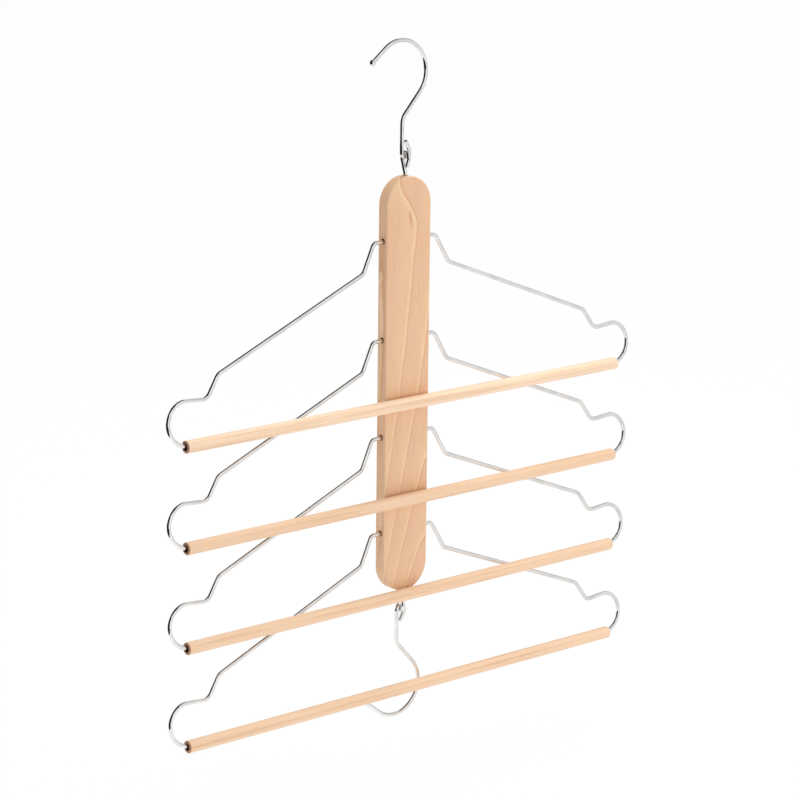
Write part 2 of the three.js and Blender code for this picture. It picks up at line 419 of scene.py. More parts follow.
first_arm = half_arm.piece
mirror = first_arm.modifiers.new("other_side", "MIRROR")
mirror.use_axis = (True, False, False)
mirror.merge_threshold = MERGE_GAP
bpy.ops.object.modifier_apply(modifier=mirror.name)
bpy.ops.object.mode_set(mode="EDIT")
close_and_smooth(first_arm)

# %% Hang the four arms
rod_middle_y = (rod_low.y + rod_high.y) / 2 / MM
rod_middle_z = (rod_low.z + rod_high.z) / 2 / MM
REST_ANGLE = math.atan2(-rod_middle_y, BOARD_TOP - FIRST_PIVOT - rod_middle_z)


def tier_place(tier):
    """Where a tier's pivot is, with the tier leaning forward as it hangs."""
    return moved_to(BOARD_X, BOARD_TOP - FIRST_PIVOT - TIER_PITCH * (tier - 1), -REST_ANGLE)


arms = {1: first_arm}
for tier in TIERS[1:]:
    arms[tier] = copy_of(first_arm, f"arm_wire_{tier}")
for tier in TIERS:
    settle(arms[tier], tier_place(tier))
print("The arms lean", round(math.degrees(REST_ANGLE), 2), "degrees")

# %% [markdown]
# ## The board
# The board has half-round ends, and its edges are eased so that cloth does not catch. It could be
# extruded from a drawn outline. A quicker way is to lay down a short fat cylinder and pull its lower half
# down: the two halves of the disc become the ends, and the sides between them stay straight. No vertex
# may lie on the dividing line, so the disc is turned by half a step. The rims are then bevelled round.

# %% Stretch and ease the board
BOARD_SIDES = 96
BOARD_EASE = 1.0
EASE_STEPS = 5
ROUND_PROFILE = 0.5
TINY = 1e-5

half_step = math.pi / BOARD_SIDES
disc_middle = BOARD_TOP - BOARD_W / 2
deselect_all()
bpy.ops.mesh.primitive_cylinder_add(
    vertices=BOARD_SIDES,
    radius=BOARD_W / 2 * MM / math.cos(half_step),
    depth=BOARD_T * MM,
    location=Vector((BOARD_X, 0, disc_middle)) * MM,
    rotation=(math.pi / 2, -half_step, 0),
)
board = take_new("board_wood")
pick(board, "VERT", lambda v: v.co.z < disc_middle * MM)
bpy.ops.transform.translate(value=(0, 0, (BOARD_W - BOARD_L) * MM))


def on_one_face(edge):
    """Whether an edge runs round the board's front or back face."""
    return abs(edge.verts[0].co.y - edge.verts[1].co.y) < TINY


def round_edges(size, steps):
    """Bevels the selected edges round, to a size in millimetres."""
    bpy.ops.mesh.bevel(offset=size * MM, segments=steps, profile=ROUND_PROFILE, affect="EDGES")


rim_edges = pick(board, "EDGE", on_one_face)
round_edges(BOARD_EASE, EASE_STEPS)
bpy.ops.object.mode_set(mode="OBJECT")
print("Eased", rim_edges, "rim edges")

# %% [markdown]
# ## Drilling the board
# Four holes go across the board, a little wider than the wire so that the arms swing freely, and one goes
# up each end for a screw eye. A Boolean modifier does what the drill does: a cylinder of the hole's size
# is taken away. The rim of each cross hole is then bevelled a little, where the real drill leaves a
# broken edge.

# %% Drill
HOLE_R = 2.05
HOLE_RISE = 0.25
HOLE_SIDES = 40
HOLE_EDGE = 0.25
BREAK_STEPS = 2
RIM_GAP = 0.02
PILOT_SPARE = 0.3


def drill(piece, start, end, radius):
    """Takes a round hole away from a piece, from one point to another in millimetres."""
    deselect_all()
    run = end - start
    bpy.ops.mesh.primitive_cylinder_add(
        vertices=HOLE_SIDES,
        radius=radius * MM,
        depth=run.length * MM,
        location=(start + end) / 2 * MM,
        rotation=run.to_track_quat("Z", "Y").to_euler(),
    )
    bit = bpy.context.active_object
    cut = piece.modifiers.new("drilled", "BOOLEAN")
    cut.operation = "DIFFERENCE"
    cut.solver = "EXACT"
    cut.object = bit
    bpy.context.view_layer.objects.active = piece
    bpy.ops.object.modifier_apply(modifier=cut.name)
    deselect_all()
    bit.select_set(True)
    bpy.ops.object.delete()


hole_heights = [BOARD_TOP - FIRST_PIVOT - TIER_PITCH * (tier - 1) + HOLE_RISE for tier in TIERS]
cross_reach = Vector((BOARD_W, 0, 0))
for height in hole_heights:
    middle = Vector((BOARD_X, 0, height))
    drill(board, middle - cross_reach, middle + cross_reach, HOLE_R)
pilot_reach = Vector((0, 0, thread_length + PILOT_SPARE))
for end in (BOARD_TOP, BOARD_TOP - BOARD_L):
    middle = Vector((BOARD_X, 0, end))
    drill(board, middle - pilot_reach, middle + pilot_reach, THREAD_R + PILOT_SPARE)
print("Drilled", len(hole_heights), "cross holes and two end holes")

# %% Break the edges of the cross holes


def on_hole_rim(edge):
    """Whether an edge runs round the mouth of a cross hole, and not along it or on to the next one."""
    if edge.calc_length() > HOLE_R * MM:
        return False
    for v in edge.verts:
        across = abs(v.co.x / MM - BOARD_X)
        off_axis = min(math.hypot(v.co.y / MM, v.co.z / MM - height) for height in hole_heights)
        if abs(across - BOARD_W / 2) > RIM_GAP or abs(off_axis - HOLE_R) > RIM_GAP:
            return False
    return True


select_only(board)
bpy.ops.object.mode_set(mode="EDIT")
rim_edges = pick(board, "EDGE", on_hole_rim)
round_edges(HOLE_EDGE, BREAK_STEPS)
close_and_smooth(board)
print("Broke", rim_edges, "edges round the holes")

# %% [markdown]
# ## The rods
# The rods are turned bars with rounded ends, drilled at both ends for the arm's turned-in tips. One is
# made from a cylinder: its end rims are bevelled round, its sides are cut into shorter faces, because very
# long thin ones shade unevenly, each end face is inset to the bore's size and extruded inwards, and the
# mouth of the bore is bevelled a little. It is made at the origin and copied for the four tiers, where it
# hangs just below the wire, because the bore is wider than the wire.

# %% Round and bore a rod
ROD_SIDES = 48
ROD_CUTS = 31
ROD_R = 4.5
ROD_EASE = 1.0
BORE_R = 2.35
BORE_DEPTH = 15.0
BORE_EDGE = 0.3
BORE_SLACK = 0.55
SQUARE_ON = 0.99

deselect_all()
bpy.ops.mesh.primitive_cylinder_add(
    vertices=ROD_SIDES,
    radius=ROD_R * MM,
    depth=ROD_L * MM,
    rotation=(0, math.pi / 2, 0),
)
first_rod = take_new("rod_wood_1")
pick(first_rod, "EDGE", lambda e: abs(e.verts[0].co.x - e.verts[1].co.x) < TINY)
round_edges(ROD_EASE, EASE_STEPS)
pick(first_rod, "EDGE", lambda e: abs(e.verts[0].co.x - e.verts[1].co.x) > ROD_L / 2 * MM)
bpy.ops.mesh.subdivide(number_cuts=ROD_CUTS)
for side in (-1, 1):
    pick(first_rod, "FACE", lambda f: f.normal.x * side > SQUARE_ON)
    bpy.ops.mesh.inset(thickness=(ROD_R - ROD_EASE - BORE_R) * MM)
    bpy.ops.mesh.extrude_region_move(TRANSFORM_OT_translate={"value": (-side * BORE_DEPTH * MM, 0, 0)})


def on_bore_mouth(edge):
    """Whether an edge runs round the mouth of a bore."""
    at_end = all(abs(abs(v.co.x) - ROD_L / 2 * MM) < TINY for v in edge.verts)
    return at_end and all(abs(math.hypot(v.co.y, v.co.z) - BORE_R * MM) < TINY for v in edge.verts)


mouth_edges = pick(first_rod, "EDGE", on_bore_mouth)
round_edges(BORE_EDGE, BREAK_STEPS)
close_and_smooth(first_rod)
print("Broke", mouth_edges, "edges round the bores")

# %% Hang the four rods
rods = {1: first_rod}
for tier in TIERS[1:]:
    rods[tier] = copy_of(first_rod, f"rod_wood_{tier}")
below_pivot = Matrix.Translation(Vector((0, 0, -TIER_DROP - BORE_SLACK)) * MM)
for tier in TIERS:
    settle(rods[tier], tier_place(tier) @ below_pivot)
print("Lowest rod at", round(min(v.co.z for v in rods[TIERS[-1]].data.vertices) / MM, 2), "mm")

# %% [markdown]
# ## Shader maths
# A procedural finish is a lot of small sums on the surface's coordinates. Written with nodes by hand they
# fill the screen, so one small class wraps a socket: adding or multiplying two of them adds a Math node,
# and one method makes any other node. Colours are mixed by Mix nodes, because a Math node would turn them
# grey.

# %% A socket that can be calculated with


class Shade:
    """A value, a vector or a colour that varies over a surface: the output of a shader node."""

    def __init__(self, tree, socket):
        self.tree = tree
        self.socket = socket

    def node(self, kind, settings, sockets, output=0):
        """Adds a node, sets it up, fills or links its sockets and returns one of its outputs."""
        node = self.tree.nodes.new(kind)
        for name, value in settings.items():
            setattr(node, name, value)
        for name, value in sockets.items():
            if isinstance(value, Shade):
                self.tree.links.new(value.socket, node.inputs[name])
            else:
                node.inputs[name].default_value = value
        return Shade(self.tree, node.outputs[output])

    def math(self, operation, first, second=0.0):
        return self.node("ShaderNodeMath", {"operation": operation}, {0: first, 1: second})

    def __add__(self, other):
        return self.math("ADD", self, other)

    def __sub__(self, other):
        return self.math("SUBTRACT", self, other)

    def __rsub__(self, other):
        return self.math("SUBTRACT", other, self)

    def __mul__(self, other):
        return self.math("MULTIPLY", self, other)

    def __truediv__(self, other):
        return self.math("DIVIDE", self, other)

    __radd__ = __add__
    __rmul__ = __mul__


print("Sums, differences, products and quotients of sockets add Math nodes")

# %% Helpers for finishes


def paint(red, green, blue):
    """A colour as it shows on a screen, 0 to 255, in the linear values that shaders use."""
    def linear(c):
        return c / 12.92 if c <= 0.04045 else ((c + 0.055) / 1.055) ** 2.4
    return (linear(red / 255), linear(green / 255), linear(blue / 255), 1.0)


def rise(value, low, high):
    """0 below low, 1 above high and a smooth rise between."""
    return value.node(
        "ShaderNodeMapRange",
        {"interpolation_type": "SMOOTHSTEP"},
        {"Value": value, "From Min": low, "From Max": high},
    )


def tint(amount, plain, other):
    """One colour where the amount is 0, the other where it is 1."""
    return amount.node("ShaderNodeMix", {"data_type": "RGBA"}, {0: amount, 6: plain, 7: other}, 2)


def stretched(coords, scale):
    """Coordinates scaled along each axis, so that a pattern is drawn out along the grain."""
    return coords.node("ShaderNodeMapping", {}, {"Vector": coords, "Scale": scale})


def noise(coords, detail=3.0, roughness=0.5):
    """Soft noise with features of about one unit."""
    sockets = {"Vector": coords, "Scale": 1.0, "Detail": detail, "Roughness": roughness}
    return coords.node("ShaderNodeTexNoise", {}, sockets)


def new_finish(name):
    """A material, its shader and its object coordinates."""
    finish = bpy.data.materials.new(name)
    finish.use_nodes = True
    shader = finish.node_tree.nodes["Principled BSDF"]
    shaded = Shade(finish.node_tree, shader.outputs[0])
    return finish, shader, shaded.node("ShaderNodeTexCoord", {}, {}, "Object")


def feed(shader, name, shade):
    """Links a varying value to one of a shader's sockets."""
    shade.tree.links.new(shade.socket, shader.inputs[name])


print("Paint check, mid grey:", [round(c, 3) for c in paint(128, 128, 128)])

# %% [markdown]
# ## Board wood
# The board is sawn at a slant through wide growth rings, so each ring meets the face as one long line
# that runs down to the left. The wood turns from rosy to golden across a ring, and ends in a pale stripe
# and a thin darker line. Near the top the grain swirls back past a healed bud, which left a brown streak.
# Blender's ready-made wave texture only draws even bands, so the rings are a surface in space here: a
# number that grows by one from ring to ring, as a sum of powers of the place across and down the board.
# It also grows through the thickness, which carries the lines round onto the narrow sides. Fibres are
# noise and short flecks are the middles of Voronoi cells, both drawn out along the board. The eased edges
# are painted a little paler, as a painted highlight, and the drilled holes are painted darker inside and
# round their mouths, as painted shade. Both are found from the place on the board.

# %% Ring number in the board
RING_SUM = {
    (0, 0): 1.40, (0, 1): 1.45, (0, 2): 0.87, (0, 3): 0.29,
    (1, 0): 1.16, (1, 1): 0.32, (1, 2): -0.09,
    (2, 0): -0.04, (2, 1): -0.36,
    (3, 0): -0.08,
}
SWIRL_SHIFT = 1.0
SWIRL_TOP = 4.0 * MM
SWIRL_FOOT = 34.0 * MM
SWIRL_LEFT = -0.6
SWIRL_RIGHT = 1.0
SWIRL_FADE = 0.9

board_finish, board_shader, board_coords = new_finish("board_wood_finish")


def parts_of(coords):
    """The three coordinates by themselves."""
    return [coords.node("ShaderNodeSeparateXYZ", {}, {0: coords}, axis) for axis in range(3)]


def power(value, count):
    """A value multiplied by itself, or 1 where the count is 0."""
    product = value if count else 1.0
    for _ in range(count - 1):
        product = product * value
    return product


board_x, board_y, board_z = parts_of(board_coords)
from_top = BOARD_TOP * MM - board_z
half_width = BOARD_W / 2 * MM
half_length = BOARD_L / 2 * MM
side_to_side = (board_x - board_y - (BOARD_X + BOARD_T / 2) * MM) / half_width
swirl_run = (from_top - SWIRL_TOP) / (SWIRL_FOOT - SWIRL_TOP)
swirl_run = board_coords.math("MINIMUM", board_coords.math("MAXIMUM", swirl_run, 0.0), 1.0)
swirl = SWIRL_SHIFT * (1 - 0.5 * (swirl_run + swirl_run * swirl_run))
across = side_to_side + swirl * (1 - SWIRL_FADE * rise(side_to_side, SWIRL_LEFT, SWIRL_RIGHT))
down = (from_top - half_length) / half_length
ring_number = 0.0
for (across_power, down_power), share in RING_SUM.items():
    ring_number = ring_number + share * power(across, across_power) * power(down, down_power)
print("Ring sum of", len(RING_SUM), "terms")

# %% Ring lines, fibres and flecks
WAVER_PER_METRE = (160, 160, 45)
FIBRES_PER_METRE = (900, 900, 70)
PATCHES_PER_METRE = (70, 70, 12)
FLECKS_PER_METRE = (480, 480, 130)
WAVER_SHARE = 0.12
PALE_STRIPE = (0.82, 0.98)
LATE_LINE = (0.0, 0.1)
LATE_ZONE = (0.0, 0.5)
FLECK_REACH = (0.08, 0.22)
FLECKED_PATCH = (0.38, 0.6)

waver = noise(stretched(board_coords, WAVER_PER_METRE), detail=2.0)
ring_phase = board_coords.math("FRACT", ring_number + WAVER_SHARE * (waver - 0.5))
pale_stripe = rise(ring_phase, *PALE_STRIPE)
late_line = 1 - rise(ring_phase, *LATE_LINE)
late_zone = 1 - rise(ring_phase, *LATE_ZONE)
fibre = noise(stretched(board_coords, FIBRES_PER_METRE), detail=4.0, roughness=0.7)
broad = noise(stretched(board_coords, PATCHES_PER_METRE), detail=2.0)
fleck_cells = board_coords.node(
    "ShaderNodeTexVoronoi",
    {"feature": "F1"},
    {"Vector": stretched(board_coords, FLECKS_PER_METRE), "Scale": 1.0, "Randomness": 1.0},
)
flecks = (1 - rise(fleck_cells, *FLECK_REACH)) * rise(broad, *FLECKED_PATCH)
print("Ring lines, fibres and flecks are worked out")

# %% Painted edge highlight, painted shade in the holes and a healed bud
# Painted light: the first band gives the eased edges a painted highlight, the second gives the holes
# painted shade.
EDGE_HIGHLIGHT_BAND = (0.3 * MM, 1.0 * MM)
HOLE_SHADE_RIM = ((HOLE_R - 0.1) * MM, (HOLE_R + 0.3) * MM)
BUD_DEPTH = (2.0 * MM, 4.0 * MM)
BUD_ACROSS = 1.3 * MM
BUD_DOWN = 30.7 * MM
BUD_LEAN = 0.19
BUD_HALF_WIDTH = 1.9 * MM
BUD_HALF_LENGTH = 9.0 * MM


def off_nearest_axis(height, first_height, beside):
    """How far a place is from the nearest of the axes along X, of which each tier has one."""
    pitch = TIER_PITCH * MM
    tiers_up = (height - first_height) / pitch
    above_axis = (height.math("FRACT", tiers_up + 0.5) - 0.5) * pitch
    return height.math("SQRT", above_axis * above_axis + beside * beside)


from_centre = board_coords.math("ABSOLUTE", down) * half_length
past_straight = board_coords.math("MAXIMUM", from_centre - (half_length - half_width), 0.0)
off_middle = board_x - BOARD_X * MM
to_outline = half_width - board_coords.math("SQRT", off_middle * off_middle + past_straight * past_straight)
to_face = BOARD_T / 2 * MM - board_coords.math("ABSOLUTE", board_y)
# Painted highlight: the eased edges are painted paler than the faces.
edge_highlight = (1 - rise(to_outline, *EDGE_HIGHLIGHT_BAND)) * (1 - rise(to_face, *EDGE_HIGHLIGHT_BAND))
off_hole = off_nearest_axis(board_z, hole_heights[0] * MM, board_y)
# Painted shade: the wood inside the cross holes and just round their mouths is painted darker.
drilled = 1 - rise(off_hole, *HOLE_SHADE_RIM)
below_bud = from_top - BUD_DOWN
bud_across = (off_middle - BUD_ACROSS - BUD_LEAN * below_bud) / BUD_HALF_WIDTH
bud_along = below_bud / BUD_HALF_LENGTH
near_front = rise(0.0 - board_y, *BUD_DEPTH)
bud = (1 - rise(bud_across * bud_across + bud_along * bud_along, 0.0, 1.0)) * near_front
print("Worn edges, drilled holes and a healed bud are worked out")

# %% Colour the board
WOOD_ROSE = paint(231, 187, 152)
WOOD_GOLD = paint(233, 192, 150)
WOOD_DEEP = paint(226, 181, 142)
WOOD_PALE = paint(241, 206, 169)
WOOD_LATE = paint(214, 160, 112)
WOOD_FIBRE = paint(217, 168, 128)
WOOD_FLECK = paint(200, 142, 98)
# Painted highlight colour for the eased edges.
WOOD_EDGE_HIGHLIGHT = paint(244, 214, 182)
# Painted shade colour for the inside of the holes.
WOOD_HOLE_SHADE = paint(168, 98, 66)
ROSE_TO_GOLD = (0.2, 0.85)
DEEP_PATCH = (0.4, 0.7)
DARK_FIBRE = (0.45, 0.75)
DEEP_SHARE = 0.5
PALE_SHARE = 0.75
LATE_ZONE_SHARE = 0.1
LATE_LINE_SHARE = 0.65
FIBRE_SHARE = 0.45
FLECK_SHARE = 0.35
BUD_SHARE = 0.55
EDGE_HIGHLIGHT_SHARE = 0.3
HOLE_SHADE_SHARE = 0.8
WOOD_ROUGHNESS = 0.42
FIBRE_ROUGHNESS = 0.16
FIBRE_DEPTH = 0.2 * MM
LINE_DEPTH_SHARE = 0.4

board_tints = [
    (DEEP_SHARE * rise(broad, *DEEP_PATCH), WOOD_DEEP),
    (PALE_SHARE * pale_stripe, WOOD_PALE),
    (LATE_ZONE_SHARE * late_zone + LATE_LINE_SHARE * late_line, WOOD_LATE),
    (FIBRE_SHARE * rise(fibre, *DARK_FIBRE), WOOD_FIBRE),
    (FLECK_SHARE * flecks, WOOD_FLECK),
    (BUD_SHARE * bud, WOOD_FLECK),
    # Painted highlight on the eased edges.
    (EDGE_HIGHLIGHT_SHARE * edge_highlight, WOOD_EDGE_HIGHLIGHT),
    # Painted shade inside and round the cross holes.
    (HOLE_SHADE_SHARE * drilled, WOOD_HOLE_SHADE),
]
board_colour = tint(rise(ring_phase, *ROSE_TO_GOLD), WOOD_ROSE, WOOD_GOLD)
for amount, colour in board_tints:
    board_colour = tint(amount, board_colour, colour)
feed(board_shader, "Base Color", board_colour)
feed(board_shader, "Roughness", WOOD_ROUGHNESS + FIBRE_ROUGHNESS * fibre)
board_height = fibre + LINE_DEPTH_SHARE * late_line
bump_sockets = {"Strength": 0.12, "Distance": FIBRE_DEPTH, "Height": board_height}
feed(board_shader, "Normal", board_coords.node("ShaderNodeBump", {}, bump_sockets))
board_shader.inputs["Coat Weight"].default_value = 0.15
board_shader.inputs["Coat Roughness"].default_value = 0.3
board.data.materials.append(board_finish)
print("Board finish has", len(board_finish.node_tree.nodes), "nodes")

# %% [markdown]
# ## Rod wood
# The rods are a paler, straighter wood. They are turned along the grain, so their rings show only as
# faint streaks that run almost the whole length of the rod, with finer fibres between. Noise that is
# drawn out along X makes both. Each rod has its own streaks, because each sits at its own height in the
# pattern. The top rod is painted paler, a painted light as if more light fell on it than on the others.
# The sawn ends are darker, partly because end grain soaks up more varnish and partly as painted shade,
# and the bores are painted darker still, as painted shade.

# %% Streaks and ends of the rods
STREAKS_PER_METRE = (8, 420, 420)
FINE_STREAKS_PER_METRE = (14, 1300, 1300)
DRIFT_PER_METRE = (14, 60, 60)
# Painted light: from this height up, the top rod is painted paler, as if more light fell on it.
TOP_ROD_LIGHT_FROM = (-0.30, -0.28)
# The sawn ends: darker partly from end grain and partly as painted shade.
END_BAND = ((ROD_L / 2 - 0.9) * MM, (ROD_L / 2 - 0.2) * MM)
# Painted shade inside the bores and just round their mouths.
BORE_SHADE_RIM = ((BORE_R + 0.1) * MM, (BORE_R + 0.6) * MM)

rod_finish, rod_shader, rod_coords = new_finish("rod_wood_finish")
rod_x, rod_y, rod_z = parts_of(rod_coords)
streaks = noise(stretched(rod_coords, STREAKS_PER_METRE), detail=3.0, roughness=0.6)
fine_streaks = noise(stretched(rod_coords, FINE_STREAKS_PER_METRE), detail=3.0, roughness=0.6)
drift = noise(stretched(rod_coords, DRIFT_PER_METRE), detail=2.0)
# Painted light on the top rod, which is painted paler than the other three.
top_rod_painted_light = rise(rod_z, *TOP_ROD_LIGHT_FROM)
# Sawn ends painted darker, partly end grain and partly painted shade.
end_grain_and_shade = rise(rod_coords.math("ABSOLUTE", rod_x - BOARD_X * MM), *END_BAND)
off_axis = off_nearest_axis(rod_z, rod_middle_z * MM, rod_y - rod_middle_y * MM)
# Painted shade: the inside of each bore is painted near black.
bore_shade = 1 - rise(off_axis, *BORE_SHADE_RIM)
print("Streaks, sawn ends and bores are worked out")

# %% Colour the rods
ROD_PLAIN = paint(236, 201, 167)
# Paler wood for the random drift, also used as painted light on the top rod.
ROD_PALE_AND_LIT = paint(246, 216, 186)
ROD_STREAK = paint(216, 168, 127)
# Colour of the sawn ends: end grain and painted shade together.
ROD_END_AND_SHADE = paint(152, 98, 68)
# Painted shade colour for the inside of the bores.
ROD_BORE_SHADE = paint(66, 38, 26)
PALE_DRIFT = (0.35, 0.65)
DARK_STREAK = (0.48, 0.72)
DARK_FINE_STREAK = (0.5, 0.75)
TOP_ROD_LIGHT_SHARE = 0.8
DRIFT_SHARE = 0.2
STREAK_SHARE = 0.6
FINE_STREAK_SHARE = 0.35
END_AND_SHADE_SHARE = 0.85
STREAK_ROUGHNESS = 0.15

rod_tints = [
    (STREAK_SHARE * rise(streaks, *DARK_STREAK), ROD_STREAK),
    (FINE_STREAK_SHARE * rise(fine_streaks, *DARK_FINE_STREAK), ROD_STREAK),
    # Darker sawn ends: end grain and painted shade.
    (END_AND_SHADE_SHARE * end_grain_and_shade, ROD_END_AND_SHADE),
    # Painted shade in the bores.
    (bore_shade, ROD_BORE_SHADE),
]
# Random pale drift in the wood, plus painted light that makes the top rod paler.
rod_paleness_and_light = TOP_ROD_LIGHT_SHARE * top_rod_painted_light + DRIFT_SHARE * rise(drift, *PALE_DRIFT)
rod_colour = tint(rod_paleness_and_light, ROD_PLAIN, ROD_PALE_AND_LIT)
for amount, colour in rod_tints:
    rod_colour = tint(amount, rod_colour, colour)
feed(rod_shader, "Base Color", rod_colour)
feed(rod_shader, "Roughness", WOOD_ROUGHNESS + STREAK_ROUGHNESS * fine_streaks)
bump_sockets = {"Strength": 0.06, "Distance": FIBRE_DEPTH, "Height": fine_streaks}
feed(rod_shader, "Normal", rod_coords.node("ShaderNodeBump", {}, bump_sockets))
rod_shader.inputs["Coat Weight"].default_value = 0.25
rod_shader.inputs["Coat Roughness"].default_value = 0.3
for rod in rods.values():
    rod.data.materials.append(rod_finish)
print("Rod finish has", len(rod_finish.node_tree.nodes), "nodes")

# %% [markdown]
# ## Chrome
# The wire is plated bright. Almost all of its look is what it mirrors, so the finish itself is plain:
# full metal, a very light grey and little roughness. Plating is never quite even, so faint clouds of noise
# make it a little duller in places and tone the grey.

# %% Finish the wire
CHROME_BRIGHT = paint(243, 242, 241)
CHROME_DULL = paint(229, 228, 227)
CLOUDS_PER_METRE = (90, 90, 90)
SMEARS_PER_METRE = (700, 700, 700)
TONED_CLOUD = (0.35, 0.7)
DULL_CLOUD = (0.4, 0.7)
CHROME_ROUGHNESS = 0.02
CLOUD_ROUGHNESS = 0.03
SMEAR_ROUGHNESS = 0.02

chrome_finish, chrome_shader, chrome_coords = new_finish("wire_chrome_finish")
cloud = noise(stretched(chrome_coords, CLOUDS_PER_METRE), detail=3.0)
smear = noise(stretched(chrome_coords, SMEARS_PER_METRE), detail=2.0)
feed(chrome_shader, "Base Color", tint(rise(cloud, *TONED_CLOUD), CHROME_BRIGHT, CHROME_DULL))
dullness = CHROME_ROUGHNESS + CLOUD_ROUGHNESS * rise(cloud, *DULL_CLOUD)
feed(chrome_shader, "Roughness", dullness + SMEAR_ROUGHNESS * smear)
chrome_shader.inputs["Metallic"].default_value = 1.0
wire_pieces = [top_hook, bottom_hook, top_screw_eye, bottom_screw_eye, *arms.values()]
for piece in wire_pieces:
    piece.data.materials.append(chrome_finish)
print(len(wire_pieces), "wire pieces are plated")

# %% [markdown]
# ## Tying the pieces to the frame
# Each piece rides on the CAD body that carries it, so that it moves with its joint. It also stands for
# the CAD solid it was modelled on, which is then hidden.

# %% Ride on the bodies


def tie(piece, body, node):
    """Puts a piece on its body and hides the CAD solid of its node."""
    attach(piece, body)
    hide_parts(node)


tie(top_hook, "top_hook", "top_hook")
tie(board, "plank", "plank")
tie(top_screw_eye, "plank", "top_screw_eye")
tie(bottom_screw_eye, "plank", "bottom_screw_eye")
tie(bottom_hook, "bottom_hook", "bottom_hook")
for tier in TIERS:
    tie(arms[tier], f"tier_{tier}", f"swing_wire_{tier}")
    tie(rods[tier], f"rod_{tier}", f"rod_{tier}")

# %% [markdown]
# ## Floor and studio light
# The hanger is shown in a white studio: a pale floor just below it, an even white room and soft lamps.
# The floor and the room look white to the camera and in the chrome, by way of the Light Path node,
# while the light they give stays plain, so that the wood keeps its written colour. One wide lamp stands
# low in front. Another hangs above and to the right, so that the left side of the board falls into a soft
# shade. Mirrors see neither lamp, because a lamp's square would show as a white patch on every bend of the
# wire. The pale floor throws more light up from below. Its white look is no lamp, so it is left out of
# the light sampling, which would otherwise spend its rays there and leave grain on the wood.

# %% Floor
FLOOR_Z = -0.53
FLOOR_SIZE = 40.0
FLOOR_PALE = paint(246, 246, 246)
WHITE = (1, 1, 1, 1)
SEEN_WHITE = 0.96
NO_SAMPLING = "NONE"


def seen_directly(shade):
    """1 for rays from the camera, a mirror or glass, and 0 for light that falls on things."""
    rays = shade.node("ShaderNodeLightPath", {}, {}, "Is Camera Ray")
    outputs = rays.socket.node.outputs
    glossy = Shade(shade.tree, outputs["Is Glossy Ray"])
    clear = Shade(shade.tree, outputs["Is Transmission Ray"])
    return shade.math("MAXIMUM", shade.math("MAXIMUM", rays, glossy), clear)


deselect_all()
bpy.ops.mesh.primitive_plane_add(size=FLOOR_SIZE, location=(0, 0, FLOOR_Z))
floor = bpy.context.active_object
floor.name = "floor"
floor_finish, floor_shader, floor_coords = new_finish("floor_finish")
floor_shader.inputs["Base Color"].default_value = FLOOR_PALE
floor_shader.inputs["Roughness"].default_value = 0.9
floor_shader.inputs["Specular IOR Level"].default_value = 0.0
floor_tree = floor_finish.node_tree
glow = floor_coords.node("ShaderNodeEmission", {}, {"Color": WHITE, "Strength": 1.0})
lit = Shade(floor_tree, floor_shader.outputs[0])
shown_white = SEEN_WHITE * seen_directly(floor_coords)
floor_mix = lit.node("ShaderNodeMixShader", {}, {0: shown_white, 1: lit, 2: glow})
floor_tree.links.new(floor_mix.socket, floor_tree.nodes["Material Output"].inputs["Surface"])
floor_finish.cycles.emission_sampling = NO_SAMPLING
floor.data.materials.append(floor_finish)

# %% The white room
ROOM_LIGHT = 0.7

room = bpy.data.worlds.new("white_room")
bpy.context.scene.world = room
room.use_nodes = True
room_tree = room.node_tree
room_light = Shade(room_tree, room_tree.nodes["Background"].outputs[0])
room_tree.nodes["Background"].inputs["Color"].default_value = WHITE
room_tree.nodes["Background"].inputs["Strength"].default_value = ROOM_LIGHT
room_seen = room_light.node("ShaderNodeBackground", {}, {"Color": WHITE, "Strength": 1.0})
looked_at = seen_directly(room_light)
room_mix = room_light.node("ShaderNodeMixShader", {}, {0: looked_at, 1: room_light, 2: room_seen})
room_tree.links.new(room_mix.socket, room_tree.nodes["World Output"].inputs["Surface"])
print("Room light", ROOM_LIGHT)

# %% Lamps
TARGET = Vector((0.005, 0, -0.25))


def soft_lamp(name, place, width, height, power_in_watts):
    """A wide area lamp that faces the hanger."""
    deselect_all()
    bpy.ops.object.light_add(type="AREA", location=place)
    lamp = bpy.context.active_object
    lamp.name = name
    lamp.data.shape = "RECTANGLE"
    lamp.data.size = width
    lamp.data.size_y = height
    lamp.data.energy = power_in_watts
    lamp.rotation_euler = (TARGET - Vector(place)).to_track_quat("-Z", "Y").to_euler()
    return lamp


FRONT_PLACE = (0.15, -1.7, -0.28)
TOP_PLACE = (0.65, 0.1, 1.1)
front_lamp = soft_lamp("front_lamp", FRONT_PLACE, width=2.0, height=0.45, power_in_watts=5.4)
top_lamp = soft_lamp("top_lamp", TOP_PLACE, width=1.2, height=1.2, power_in_watts=19.5)
for lamp in (front_lamp, top_lamp):
    lamp.visible_glossy = False
print("Lamps:", front_lamp.name, top_lamp.name)

# %% [markdown]
# ## Cards for the chrome
# Bright metal in an all-white room has no outline, so photographers stand cards round it. Black ones here
# make a dark wall and floor to the left and a dark ceiling to the left and behind, which draw the dark line
# along each wire. Grey ones to the right and in front tone down the rest of it. Only mirrors can see the
# cards: they take no light from the wood and cast no shadow.

# %% Make cards
BLACK = (0, 0, 0, 1)


def card_paint(name, brightness):
    """A card's colour, which gives off its own even light."""
    finish, shader, _ = new_finish(name)
    shader.inputs["Base Color"].default_value = BLACK
    shader.inputs["Specular IOR Level"].default_value = 0.0
    shader.inputs["Emission Color"].default_value = WHITE
    shader.inputs["Emission Strength"].default_value = brightness
    finish.cycles.emission_sampling = NO_SAMPLING
    return finish


